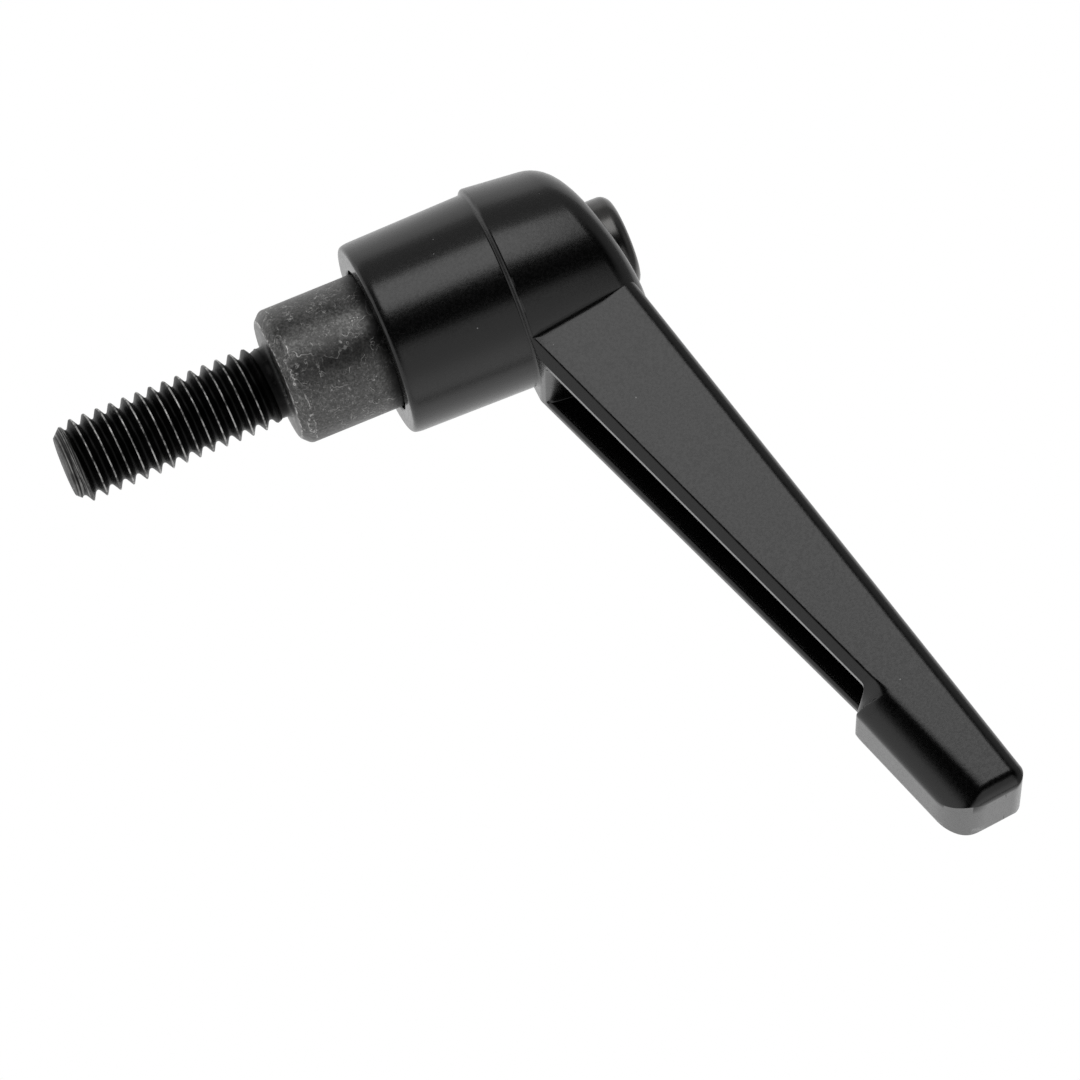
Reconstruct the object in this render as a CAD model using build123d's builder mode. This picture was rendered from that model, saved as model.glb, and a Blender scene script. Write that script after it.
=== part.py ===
"""Adjustable clamping lever with a male threaded stud. All lengths are in millimetres.

The lever indexes on a serrated insert: lifted against its spring it turns freely, and let go, its teeth
drop back and turn the stud. Z is the stud's axis and points from the stud to the retaining screw. X is
the way the arm points. The origin is the centre of the collar's end face, which seats on the work.
"""

import os
from math import cos, pi, radians, sin, tan

from build123d import *

os.makedirs("parts", exist_ok=True)

# ------------------------------------------------------------------ serrated insert, driving dimensions
stud_d = 6.0  # a metric thread, drawn as a plain cylinder of the nominal diameter
stud_length = 16.0  # end face of the collar to the tip
stud_tip_d = 4.3
stud_tip_length = 0.9
neck_d = 5.2  # thread run-out under the collar
neck_length = 1.1
neck_flare = 0.45  # at the collar, so that the flat seat begins outside the thread
collar_d = 9.9
collar_chamfer = 0.6
collar_length = 8.6  # end face to the shoulder that carries the lever
spigot_d = 5.5  # holds the spring and the retaining screw

# ------------------------------------------------------------------ serration, driving dimensions
tooth_count = 24
tooth_tip_d = 10.1  # over the insert's teeth
tooth_depth = 0.5
lift_travel = 4.0  # height the lever is pulled up to disengage
tooth_lift_clearance = 0.8  # between the two sets of teeth at full lift
tooth_clearance = 0.15  # radial, between the two sets of teeth
tooth_backlash = 0.2  # along the pitch circle, between the two sets of teeth
tooth_root_share = 0.36  # of the pitch, from the middle of a tooth to its root
tooth_tip_share = 0.14  # of the pitch, from the middle of a tooth to the corner of its tip
lever_tooth_length = 3.0

# ------------------------------------------------------------------ retaining screw, driving dimensions
screw_head_d = 6.9
screw_head_height = 4.0
screw_head_top = 26.33  # height of the head's flat top
screw_head_round = 0.85
socket_width = 2.5  # across flats
socket_depth = 1.6
screw_d = 3.9  # a metric thread, drawn plain and a little under its size
screw_length = 8.0  # under the head
tapped_hole_d = 4.0
tapped_hole_depth = 9.5

# ------------------------------------------------------------------ spring, driving dimensions
wire_d = 0.55
spring_bore_clearance = 0.15  # between the spigot and the coils
spring_coils = 5
wire_sides = 6  # the round wire is drawn with flats

# ------------------------------------------------------------------ hub of the lever, driving dimensions
rim_z = 7.4  # length of the collar that shows below the hub
rim_r = 7.05
rim_chamfer = 0.35
bore_clearance = 0.25  # between the collar and the hub's bore
step_z = 16.75  # parting line, where the hub steps out
lower_hub_r = 7.2
step_width = 0.35
upper_draft = 5.5  # degrees
hub_top_z = 24.6  # height of the hub's sloping top at its axis
hub_top_round = 2.5
guide_clearance = 0.2  # between the spigot and the hole in the web
chamber_gap = 0.4  # between the insert's teeth and the web
web_thickness = 1.8
pocket_clearance = 0.3  # between the screw's head and its pocket

# ------------------------------------------------------------------ arm of the lever, driving dimensions
arm_reach = 48.2  # axis of the hub to the upper end of the tip
tip_draft = 9.1  # degrees, of the tip's end face
top_z = 24.0  # height of the arm's sloping top, drawn on to the axis of the hub
top_slope = 13.5  # degrees
lower_edge_z = 14.1  # height at the axis of the hub of the line along the channel's mouth
lower_slope = 20.0  # degrees
root_x = 5.4  # where the side panels leave the hub
root_half_width = 4.8
tip_half_width = 3.9
top_edge_round = 0.85
bevel_height = 0.7  # below the parting line, along the channel's mouth
bevel_width = 0.55
pad_x = 39.0  # start of the grip pad's flat underside
pad_drop = 1.7  # underside of the pad, where it starts, below the line along the channel's mouth
pad_lead = 1.2  # length of the step down to the pad
pad_slope = 18.0  # degrees, of the pad's underside
pad_step_round = 0.5
pad_side_round = 2.2  # between the pad's underside and its sides
tip_side_round = 0.8  # between the end face and the side panels
tip_nose_round = 3.4  # between the pad's underside and the end face
channel_wall = 0.9
channel_roof = 1.5
channel_corner_round = 0.9
channel_end_wall = 0.8  # between the channel and the step down to the pad
cutter_margin = 1.0  # that the cutters of the pad's rounded sides stand outside it

# ------------------------------------------------------------------ how edges and faces are picked
near = 0.1  # an edge or a corner this close to a plane is in it
facing = 0.9  # a face whose unit normal has this much of a direction faces that way

# ------------------------------------------------------------------ sizes that follow
tooth_length = lift_travel - tooth_lift_clearance  # on the insert
tooth_root_d = tooth_tip_d - 2 * tooth_depth
bore_r = collar_d / 2 + bore_clearance
web_bottom = collar_length + tooth_length + chamber_gap
web_top = web_bottom + web_thickness
pocket_r = screw_head_d / 2 + pocket_clearance
head_bottom = screw_head_top - screw_head_height
spring_length = head_bottom - web_top
coil_r = spigot_d / 2 + spring_bore_clearance + wire_d / 2


def top_at(x):
    """Height of the lever's sloping top."""
    return top_z + x * tan(radians(top_slope))


def lower_at(x):
    """Height of the line along the channel's mouth."""
    return lower_edge_z + x * tan(radians(lower_slope))


def pad_at(x):
    """Height of the pad's underside."""
    return lower_at(pad_x) - pad_drop + (x - pad_x) * tan(radians(pad_slope))


def half_width_at(x):
    """Half the arm's width over its side panels."""
    taper = (root_half_width - tip_half_width) / (arm_reach - root_x)
    return root_half_width - (x - root_x) * taper


def tooth_ring(outer_r, inner_r, gap):
    """Points of a closed ring of straight-flanked teeth, with gap taken off the thickness of each."""
    pitch_r = (outer_r + inner_r) / 2
    pitch = 2 * pi / tooth_count
    trim = gap / 2 / pitch_r
    root = pitch * tooth_root_share - trim
    tip = pitch * tooth_tip_share - trim
    points = []
    for tooth in range(tooth_count):
        middle = tooth * pitch
        for r, turn in ((inner_r, -root), (outer_r, -tip), (outer_r, tip), (inner_r, root)):
            points.append((r * cos(middle + turn), r * sin(middle + turn)))
    return points


# ------------------------------------------------------------------ serrated insert with its stud
with BuildPart() as serrated_insert:
    with BuildSketch(Plane.XZ):
        with BuildLine():
            Polyline(
                (0, -stud_length),
                (stud_tip_d / 2, -stud_length),
                (stud_d / 2, stud_tip_length - stud_length),
                (stud_d / 2, -neck_length - (stud_d - neck_d) / 2),
                (neck_d / 2, -neck_length),
                (neck_d / 2, -neck_flare),
                (neck_d / 2 + neck_flare, 0),
                (collar_d / 2 - collar_chamfer, 0),
                (collar_d / 2, collar_chamfer),
                (collar_d / 2, collar_length),
                (spigot_d / 2, collar_length),
                (spigot_d / 2, head_bottom),
                (0, head_bottom),
                close=True,
            )
        make_face()
    revolve(axis=Axis.Z)
    with BuildSketch(Plane.XY.offset(collar_length)):
        with BuildLine():
            Polyline(*tooth_ring(tooth_tip_d / 2, tooth_root_d / 2, tooth_backlash / 2), close=True)
        make_face()
    extrude(amount=tooth_length)
    with Locations((0, 0, head_bottom)):
        Hole(tapped_hole_d / 2, depth=tapped_hole_depth)

serrated_insert.part.label = "serrated_insert"
export_step(serrated_insert.part, "parts/serrated_insert.step")

# ------------------------------------------------------------------ retaining screw
with BuildPart() as retaining_screw:
    with BuildSketch(Plane.XY.offset(head_bottom)):
        Circle(screw_head_d / 2)
    extrude(amount=screw_head_height)
    head_rim = retaining_screw.faces().sort_by(Axis.Z)[-1].edges()
    fillet(head_rim, radius=screw_head_round)
    with BuildSketch(Plane.XY.offset(head_bottom + screw_head_height)):
        RegularPolygon(socket_width / 2, 6, major_radius=False)
    extrude(amount=-socket_depth, mode=Mode.SUBTRACT)
    with BuildSketch(Plane.XY.offset(head_bottom)):
        Circle(screw_d / 2)
    extrude(amount=-screw_length)
    chamfer(retaining_screw.faces().sort_by(Axis.Z)[0].edges(), length=screw_d / 10)

retaining_screw.part.label = "retaining_screw"
export_step(retaining_screw.part, "parts/retaining_screw.step")

# ------------------------------------------------------------------ return spring
spring_rise = spring_length - wire_d
with BuildPart() as return_spring:
    with BuildLine():
        coil = Helix(spring_rise / spring_coils, spring_rise, coil_r, center=(0, 0, web_top + wire_d / 2))
    coil_start = coil @ 0
    with BuildSketch(Plane(origin=coil_start, x_dir=(coil_start.X, coil_start.Y, 0), z_dir=coil % 0)):
        RegularPolygon(wire_d / 2, wire_sides, rotation=180 / wire_sides)
    sweep(path=coil, is_frenet=True)

return_spring.part.label = "return_spring"
export_step(return_spring.part, "parts/return_spring.step")

# ------------------------------------------------------------------ core that leaves the arm's channel
channel_end = pad_x - channel_end_wall
with BuildPart() as channel_core:
    with BuildSketch(Plane.XZ):
        with BuildLine():
            Polyline(
                (root_x, lower_at(root_x) - pad_drop * 2),
                (channel_end, lower_at(channel_end) - pad_drop * 2),
                (channel_end, top_at(channel_end) - channel_roof),
                (root_x, top_at(root_x) - channel_roof),
                close=True,
            )
        make_face()
    extrude(amount=root_half_width, both=True)
    with BuildSketch(Plane.XY):
        with BuildLine():
            Polyline(
                (root_x, half_width_at(root_x) - bevel_width - channel_wall),
                (channel_end, half_width_at(channel_end) - bevel_width - channel_wall),
                (channel_end, bevel_width + channel_wall - half_width_at(channel_end)),
                (root_x, bevel_width + channel_wall - half_width_at(root_x)),
                close=True,
            )
        make_face()
    extrude(amount=arm_reach, mode=Mode.INTERSECT)
    uprights = channel_core.edges().filter_by(Axis.Z).group_by(Axis.X)[-1]
    fillet(uprights, radius=channel_corner_round)
    Cylinder(lower_hub_r + step_width, arm_reach * 2, mode=Mode.SUBTRACT)

# ------------------------------------------------------------------ arm with its grip pad
nose_slope = tan(radians(tip_draft))
end_foot = arm_reach + nose_slope * (top_at(arm_reach) - pad_at(pad_x))
pad_rise = tan(radians(pad_slope))
nose_x = (end_foot + nose_slope * pad_x * pad_rise) / (1 + nose_slope * pad_rise)
pad_start = pad_x - pad_lead
with BuildPart() as arm:
    root_end = (step_z - lower_edge_z) / tan(radians(lower_slope))
    with BuildSketch(Plane.XZ) as side:
        with BuildLine():
            Polyline(
                (0, top_at(0)),
                (0, step_z),
                (root_end, step_z),
                (pad_start, lower_at(pad_start)),
                (pad_x, pad_at(pad_x)),
                (nose_x, pad_at(nose_x)),
                (arm_reach, top_at(arm_reach)),
                close=True,
            )
        make_face()
        fillet(side.vertices().sort_by(Axis.X)[-1], radius=tip_nose_round)
    extrude(amount=root_half_width * 2, both=True)
    # the plan is drawn square to the tip's end face
    draft = radians(tip_draft)
    plan_base = Plane(
        origin=(nose_x, 0, pad_at(nose_x)),
        x_dir=(cos(draft), 0, sin(draft)),
        z_dir=(-sin(draft), 0, cos(draft)),
    )
    with BuildSketch(plan_base) as plan:
        with BuildLine():
            Polyline(
                (-nose_x / cos(draft), root_half_width),
                ((root_x - nose_x) / cos(draft), root_half_width),
                (0, tip_half_width),
                (0, -tip_half_width),
                ((root_x - nose_x) / cos(draft), -root_half_width),
                (-nose_x / cos(draft), -root_half_width),
                close=True,
            )
        make_face()
        fillet(plan.vertices().sort_by(Axis.X)[-2:], radius=tip_side_round)
    extrude(amount=arm_reach, both=True, mode=Mode.INTERSECT)

    top_face = arm.faces().filter_by(lambda f: f.normal_at().Z > facing).sort_by(SortBy.AREA)[-1]
    fillet(top_face.edges().filter_by(lambda e: e.center().X > near), radius=top_edge_round)
    for way in (1, -1):
        long_edges = arm.edges().filter_by(lambda e: e.length > arm_reach / 2)
        mouth_edge = long_edges.filter_by(lambda e: way * e.center().Y > near).sort_by(Axis.Z)[0]
        panels = arm.faces().filter_by(lambda f: way * f.normal_at().Y > facing)
        panel = panels.sort_by(SortBy.AREA)[-1]
        chamfer(mouth_edge, length=bevel_height, length2=bevel_width, reference=panel)

    # the pad's sides are rounded by a cutter run along each of its lower edges
    cut_x = pad_x - pad_lead / 2
    cut_end_x = nose_x + cutter_margin
    for way in (1, -1):
        cut_from = Vector(cut_x, way * half_width_at(cut_x), pad_at(cut_x))
        cut_to = Vector(cut_end_x, way * half_width_at(cut_end_x), pad_at(cut_end_x))
        along = (cut_to - cut_from).normalized()
        upwards = Vector(-along.Z, 0, along.X).normalized()
        square = Plane(origin=cut_from, x_dir=upwards, z_dir=along)
        inwards = -way if square.y_dir.Y > 0 else way
        cutter_middle = (pad_side_round - cutter_margin) / 2
        cutter_side = pad_side_round + cutter_margin
        with BuildSketch(square):
            with Locations((cutter_middle, inwards * cutter_middle)):
                Rectangle(cutter_side, cutter_side)
            with Locations((pad_side_round, inwards * pad_side_round)):
                Circle(pad_side_round, mode=Mode.SUBTRACT)
        extrude(amount=(cut_to - cut_from).length, mode=Mode.SUBTRACT)
    level = arm.edges().filter_by(Axis.Y)
    across = level.filter_by(lambda e: pad_start - near < e.center().X < pad_x + near)
    fillet(across, radius=pad_step_round)

# ------------------------------------------------------------------ lever: hub and arm, one casting
with BuildPart() as lever_handle:
    # hub, turned about the axis: rim, parting-line step, draft to the top
    upper_r = lower_hub_r + step_width
    slope = tan(radians(top_slope))
    hub_top = hub_top_z + upper_r * slope
    hub_top_r = upper_r - (hub_top - step_z) * tan(radians(upper_draft))
    with BuildSketch(Plane.XZ):
        with BuildLine():
            Polyline(
                (0, rim_z),
                (rim_r - rim_chamfer, rim_z),
                (rim_r, rim_z + rim_chamfer),
                (lower_hub_r, step_z),
                (upper_r, step_z),
                (hub_top_r, hub_top),
                (0, hub_top),
                close=True,
            )
        make_face()
    revolve(axis=Axis.Z)
    hub_top_plane = Plane(origin=(0, 0, hub_top_z), x_dir=(1, 0, slope), z_dir=(-slope, 0, 1))
    split(bisect_by=hub_top_plane, keep=Keep.BOTTOM)
    hub_top_face = lever_handle.faces().filter_by(lambda f: f.normal_at().Z > facing)[0]
    fillet(hub_top_face.edges(), radius=hub_top_round)
    add(arm.part)
    add(channel_core.part, mode=Mode.SUBTRACT)

    # bore for the insert, serration, web with its guide hole, pocket for the spring and the screw's head
    with BuildSketch(Plane.XY.offset(rim_z)):
        Circle(bore_r)
    extrude(amount=collar_length - rim_z, mode=Mode.SUBTRACT)
    with BuildSketch(Plane.XY.offset(collar_length)):
        with BuildLine():
            teeth = tooth_ring(bore_r, tooth_root_d / 2 + tooth_clearance, -tooth_backlash / 2)
            Polyline(*teeth, close=True)
        make_face()
    extrude(amount=lever_tooth_length, mode=Mode.SUBTRACT)
    with BuildSketch(Plane.XY.offset(collar_length + lever_tooth_length)):
        Circle(bore_r)
    extrude(amount=web_bottom - collar_length - lever_tooth_length, mode=Mode.SUBTRACT)
    with BuildSketch(Plane.XY.offset(web_bottom)):
        Circle(spigot_d / 2 + guide_clearance)
    extrude(amount=web_thickness, mode=Mode.SUBTRACT)
    with BuildSketch(Plane.XY.offset(web_top)):
        Circle(pocket_r)
    extrude(amount=hub_top - web_top, mode=Mode.SUBTRACT)

lever_handle.part.label = "lever_handle"
export_step(lever_handle.part, "parts/lever_handle.step")
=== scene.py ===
"""Looks of an adjustable clamping lever: a satin black casting on a blackened steel insert.

Shapes are worked out in millimetres and go into their meshes in metres. Materials read metres.
"""

import math

import bmesh
import bpy
import numpy as np
from mathutils import Matrix, Vector


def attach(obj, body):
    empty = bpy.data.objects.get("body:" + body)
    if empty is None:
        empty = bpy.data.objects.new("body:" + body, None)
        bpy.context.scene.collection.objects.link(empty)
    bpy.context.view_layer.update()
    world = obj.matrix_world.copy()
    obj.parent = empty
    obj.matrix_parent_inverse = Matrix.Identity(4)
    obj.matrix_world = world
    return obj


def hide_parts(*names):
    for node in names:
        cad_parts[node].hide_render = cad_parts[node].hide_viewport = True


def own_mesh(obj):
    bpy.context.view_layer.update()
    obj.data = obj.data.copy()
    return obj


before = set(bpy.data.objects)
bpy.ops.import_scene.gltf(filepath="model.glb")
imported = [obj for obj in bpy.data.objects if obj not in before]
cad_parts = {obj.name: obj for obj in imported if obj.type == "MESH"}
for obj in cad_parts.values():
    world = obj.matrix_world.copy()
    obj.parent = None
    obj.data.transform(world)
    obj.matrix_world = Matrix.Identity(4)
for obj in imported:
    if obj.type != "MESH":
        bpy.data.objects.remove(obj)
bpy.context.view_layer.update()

METRE = 1000.0  # millimetres
TINY = 1e-9  # keeps a length that is divided by off zero
scene = bpy.context.scene

# ------------------------------------------------------------------ sizes of the insert
stud_end = -16.0
stud_r = 3.0
stud_tip_r = 2.15
stud_tip_rise = 0.9
crest_r = 2.95
root_r = 2.34
pitch = 1.0
first_crest = -15.04  # height of the crest where it crosses the arm's side of the stud
neck_r = 2.6
neck_bottom = -0.55
root_rise = 1.1  # height over which the thread's root comes up to the neck
run_out_slope = 0.33  # of the cone in which the crests run out
neck_flare = 0.45
collar_r = 4.95
collar_chamfer = 0.6
collar_top = 8.6
spigot_r = 2.75
spigot_top = 22.33
spigot_chamfer = 0.2
tapped_r = 2.0
tapped_chamfer = 0.3
tapped_bottom = 12.83
drill_point = 1.1
tooth_count = 24
tooth_tip = 0.14  # half of its tip and of its foot, as shares of a tooth's space
tooth_foot = 0.36
tooth_trim = 0.02  # off each flank of the insert's teeth, and on to each of the lever's
tooth_tip_r = 5.045
tooth_root_r = 4.55
tooth_top = 11.8
tooth_chamfer = 0.12

# ------------------------------------------------------------------ sizes of the screw and the spring
screw_end = 14.33
screw_r = 1.9
screw_end_r = 1.55
screw_chamfer = 0.37
head_r = 3.45
head_top = 26.33
head_round = 0.85
head_flat_r = 1.6
socket_half = 1.25  # half its width over the flats
socket_mouth_r = 1.42
socket_mouth = 0.12
socket_depth = 1.6
socket_point = 1.85
spring_turns = 6.0
wire_r = 0.27
coil_r = 3.16
flat_turn = 0.8  # of a turn at each end, over which the coil leaves its flat lie
flat_slope = 0.28  # of the full slope, where the wire begins

# ------------------------------------------------------------------ sizes of the hub
bore_r = 5.2
rim_z = 7.4
rim_r = 7.05
rim_round = 0.33
rim_lead = 0.12  # how far the rim draws in
rim_lead_rise = 0.55  # and over which height
step_z = 16.75
step_half = 0.12  # half the height of the parting line's step
lower_r = 7.2
upper_r = 7.55
upper_draft = math.tan(math.radians(5.5))
hub_top_z = 24.6
hub_top_round_back = 2.7
hub_top_round_arm = 1.7
pocket_r = 3.75
web_top = 14.0
web_bottom = 12.2
guide_r = 2.95
lever_tooth_top = 11.6
lever_tooth_gap = 0.15  # from the insert's root radius to the tips of the lever's teeth

# ------------------------------------------------------------------ sizes of the arm
rise = math.tan(math.radians(13.5))  # of its top
top_z = 24.0
mouth_rise = math.tan(math.radians(20.0))  # of the line along the channel's mouth
mouth_z = 14.1
pad_rise = math.tan(math.radians(18.0))
pad_x = 39.0
pad_drop = 1.7
pad_lead = 0.3  # before the step, where its side begins to turn into the pad's
step_x = 37.8
step_soft = 0.5  # half the length over which the step's two corners are eased
end_x = 48.35
end_lean = math.tan(math.radians(5.4))
end_meet = 0.66  # share of the end face's height at which its upper and lower rows meet
root_x = 5.4  # where the arm is root_half wide; it tapers to tip_half at end_x
root_half = 4.8
tip_half = 3.9
edge_round = 1.1
end_round = 1.2
corner_round = 1.2
nose_round = 2.9
ridge_height = 0.7
ridge_soft = 0.16  # of the bevel's height, on both sides of the ridge
bevel_width = 0.55
pad_round_width = 2.05
pad_curve = 0.66  # share of the pad's lower edge that is curved rather than bevelled
pad_corner = 0.8  # rounding of the pad's first corner, seen from below
pad_corner_end = 0.7  # and how far past pad_x it ends
arm_start = 3.85
channel_wall = 0.85
channel_roof = 1.5
channel_start = 7.8
channel_rise = 1.1  # length over which its roof comes up at the hub
channel_end = 38.2
channel_corner = 0.9
channel_roof_round = 0.6
channel_bead = 0.4  # rounding along its mouth
channel_lip = 0.25  # least flat between the mouth and the bevel
fillet_r = 0.85
fillet_least = 0.03  # what is left of it at its ends
fillet_bottom = step_z + 0.2
fillet_top = 24.4
fillet_grow = (step_z - 0.3, step_z + 0.9)  # heights over which it grows and dies out
fillet_fade = (24.5, 22.0)
fillet_hidden = 0.9  # how far inside the metal its loops close


# ------------------------------------------------------------------ shape
def smooth(value, low, high):
    """Goes from 0 at low to 1 at high with no corner at either."""
    share = np.clip((value - low) / (high - low), 0, 1)
    return share * share * (3 - 2 * share)


def unit(vectors):
    """The same directions, one long."""
    return vectors / np.maximum(np.linalg.norm(vectors, axis=-1, keepdims=True), TINY)


def sharpness(rows, least=4e-4):
    """How sharply the surface turns outwards at each point, in 1/mm: the larger of the grid's two ways.

    Along each way it is twice the height of the point over its neighbours' middle, along the surface's
    outward direction, over the product of their distances, which is held at least or more.
    """
    above = np.concatenate((rows[:1], rows[:-1]))
    below = np.concatenate((rows[1:], rows[-1:]))
    left = np.roll(rows, 1, axis=1)
    right = np.roll(rows, -1, axis=1)
    out = unit(np.cross(below - above, right - left))
    inside_out = (out * (rows - rows.mean(axis=1, keepdims=True))).sum() < 0
    out = -out if inside_out else out
    turns = []
    for a, b in ((above, below), (left, right)):
        height = ((rows - (a + b) / 2) * out).sum(-1)
        product = np.linalg.norm(rows - a, axis=-1) * np.linalg.norm(rows - b, axis=-1)
        turns.append(2 * height / np.maximum(product, least))
    return np.maximum(*turns)


def skin(name, rows, sharp=32.0, climb=None, dull=0.9, keen=4.9):
    """A closed surface: every row of points is one closed loop, and four-sided faces join it to the next.

    Rows that shrink to a point or fold on to a line close the ends, because points in one place are merged.
    climb, for rows that rise as they go round, is the row at whose first point each row's last point goes
    on. The attribute edge goes from 0 where the sharpness is dull or less to 1 where it is keen or more.
    """
    count, around = rows.shape[:2]
    here = np.arange(count * around).reshape(count, around)
    beside = np.roll(here, -1, axis=1)
    turning = sharpness(rows)
    if climb is not None:
        beside[:, -1] = here[climb, 0]
        turning[:, [0, -1]] = turning[:, [1, -2]]
    faces = np.stack((here[:-1], beside[:-1], beside[1:], here[1:]), -1)
    mesh = bpy.data.meshes.new(name)
    mesh.from_pydata((rows.reshape(-1, 3) / METRE).tolist(), [], faces.reshape(-1, 4).tolist())
    edge = mesh.attributes.new("edge", "FLOAT", "POINT")
    edge.data.foreach_set("value", np.clip((turning - dull) / (keen - dull), 0, 1).astype(np.float32).ravel())
    shape = bmesh.new()
    shape.from_mesh(mesh)
    bmesh.ops.remove_doubles(shape, verts=shape.verts, dist=1e-6)
    bmesh.ops.dissolve_degenerate(shape, edges=shape.edges, dist=1e-7)
    bmesh.ops.recalc_face_normals(shape, faces=shape.faces)
    shape.to_mesh(mesh)
    shape.free()
    mesh.polygons.foreach_set("use_smooth", np.ones(len(mesh.polygons), bool))
    mesh.set_sharp_from_angle(angle=math.radians(sharp))
    piece = bpy.data.objects.new(name, mesh)
    scene.collection.objects.link(piece)
    return piece


def rounded(corners, radii, steps):
    """An outline whose corners are arcs of steps points: each is the circle that touches both of its sides.

    corners is (..., corner, 2) and radii is (..., corner). A corner of no radius stays where it is.
    """
    back = unit(np.roll(corners, 1, axis=-2) - corners)
    ahead = unit(np.roll(corners, -1, axis=-2) - corners)
    between = np.arccos(np.clip((back * ahead).sum(-1), -1, 1))
    radii = np.broadcast_to(radii, between.shape)
    reach = radii / np.tan(between / 2)
    centre = corners + unit(back + ahead) * (radii / np.sin(between / 2))[..., None]
    first = corners + back * reach[..., None] - centre
    last = corners + ahead * reach[..., None] - centre
    turn = (math.pi - between)[..., None]
    s = np.linspace(0, 1, steps)
    a = np.sin((1 - s) * turn) / np.sin(turn)
    b = np.sin(s * turn) / np.sin(turn)
    arc = centre[..., None, :] + a[..., None] * first[..., None, :] + b[..., None] * last[..., None, :]
    return arc.reshape(*arc.shape[:-3], -1, 2)


def lathe(angle, r, z):
    """Turned rows: row i runs round the axis at radius r[i] and height z[i], which may differ by angle."""
    r = np.broadcast_to(r, (len(r), len(angle)))
    z = np.broadcast_to(z, r.shape)
    return np.stack((r * np.cos(angle), r * np.sin(angle), z), -1)


def turned(angle, profile):
    """Turned rows of a profile given as (radius, height) points."""
    profile = np.array(profile)
    return lathe(angle, profile[:, :1], profile[:, 1:])


def tooth_columns():
    """Angles round the axis: one at every corner of every tooth and one halfway to the next corner."""
    share = np.array((-tooth_foot, -tooth_tip, tooth_tip, tooth_foot, 1 - tooth_foot))
    one = np.stack((share[:-1], (share[:-1] + share[1:]) / 2), -1).ravel()
    return ((np.arange(tooth_count)[:, None] + one) * 2 * math.pi / tooth_count).ravel()


def toothed(angle, tip_r, foot_r, trim):
    """Radius of a ring of straight-flanked teeth: trapeziums in angle, narrower by trim on each side."""
    phase = angle * tooth_count / (2 * math.pi)
    off = np.abs(phase - np.round(phase))
    share = np.clip((tooth_foot - trim - off) / (tooth_foot - tooth_tip), 0, 1)
    return foot_r + (tip_r - foot_r) * share


def threaded_insert(steps=8):
    """Stud, collar, serration and spigot, as rows round one axis.

    The thread's rows climb one pitch a turn: a row's height is its place in the pitch plus the turned share
    of the pitch, and its last point joins the row one pitch up. Their radius is the profile's, a flat crest
    between straight flanks and a hollow root. It is held under the tip's cone and the neck's, and rows that
    would pass the ends of the thread stop there.
    """
    angle = tooth_columns()
    climbed = angle / (2 * math.pi) * pitch
    side = np.array((0.02, 0.045, 0.07, 0.19, 0.31, 0.36, 0.41, 0.46))  # away from the crest's middle
    drop = np.array((0.0, 0.008, 0.04, 0.25, 0.455, 0.525, 0.57, 0.592))  # below the crest
    place = np.concatenate(((-0.5,), -side[::-1], side))
    fall = np.concatenate(((0.6,), drop[::-1], drop))
    turns = np.arange(-2, 17)  # enough to pass both ends of the stud
    z = (first_crest + turns[:, None] + place).ravel()[:, None] + climbed
    z = np.clip(z, stud_end, neck_bottom)
    profile = np.tile(crest_r - fall, len(turns))[:, None]
    floor = root_r + (neck_r - root_r) * smooth(z, neck_bottom - root_rise, neck_bottom)
    tip_cone = stud_tip_r + (z - stud_end) * (stud_r - stud_tip_r) / stud_tip_rise
    neck_cone = neck_r + run_out_slope * (neck_bottom - z)
    thread = lathe(angle, np.minimum(np.minimum(np.maximum(profile, floor), tip_cone), neck_cone), z)

    corners = np.array((
        (neck_r, neck_bottom), (neck_r, 0), (collar_r - collar_chamfer, 0), (collar_r, collar_chamfer),
        (collar_r, collar_top), (spigot_r, collar_top)))
    radii = np.array((0, neck_flare, 0.35, 0.6, 0.05, 0))
    collar = turned(angle, rounded(corners, radii, steps)[steps:-steps])
    tooth = toothed(angle, tooth_tip_r, tooth_root_r, tooth_trim)
    heights = np.array((collar_top, tooth_top - tooth_chamfer, tooth_top))[:, None]
    teeth = lathe(angle, tooth[None] - np.array((0, 0, tooth_chamfer))[:, None], heights)
    spigot = turned(angle, (
        (spigot_r, tooth_top), (spigot_r, spigot_top - spigot_chamfer),
        (spigot_r - spigot_chamfer, spigot_top), (tapped_r + tapped_chamfer, spigot_top),
        (tapped_r, spigot_top - tapped_chamfer), (tapped_r, tapped_bottom), (0, tapped_bottom - drill_point)))
    tip = turned(angle, ((0.0, stud_end), (1.0, stud_end)))
    rows = np.concatenate((tip, thread, collar, teeth, spigot))
    climb = np.arange(len(rows))
    last = len(tip) + len(thread) - 1
    climb[len(tip):last + 1] = np.minimum(climb[len(tip):last + 1] + len(place), last)
    return skin("threaded_insert", rows, climb=climb)


def cap_screw(columns=144, steps=9):
    """Retaining screw: rows round the axis. The socket's flats are a radius that goes with the angle."""
    angle = np.linspace(0, 2 * math.pi, columns, endpoint=False)
    corners = np.array((
        (0.0, screw_end), (screw_end_r, screw_end), (screw_r, screw_end + screw_chamfer),
        (screw_r, spigot_top), (head_r, spigot_top), (head_r, head_top), (head_flat_r, head_top)))
    radii = np.array((0, 0, 0, 0.1, 0.12, head_round, 0))
    body = turned(angle, rounded(corners, radii, steps)[steps - 1:-steps])
    sixth = math.pi / 3
    flats = socket_half / np.cos((angle + sixth / 2) % sixth - sixth / 2)
    mouth = lathe(angle, np.maximum(flats, socket_mouth_r)[None], head_top)
    ends = np.array(((head_top - socket_mouth,), (head_top - socket_depth,)))
    wall = lathe(angle, np.stack((flats, flats)), ends)
    floor = turned(angle, ((0.0, head_top - socket_point),))
    return skin("cap_screw", np.concatenate((body, mouth, wall, floor)), 28)


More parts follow.
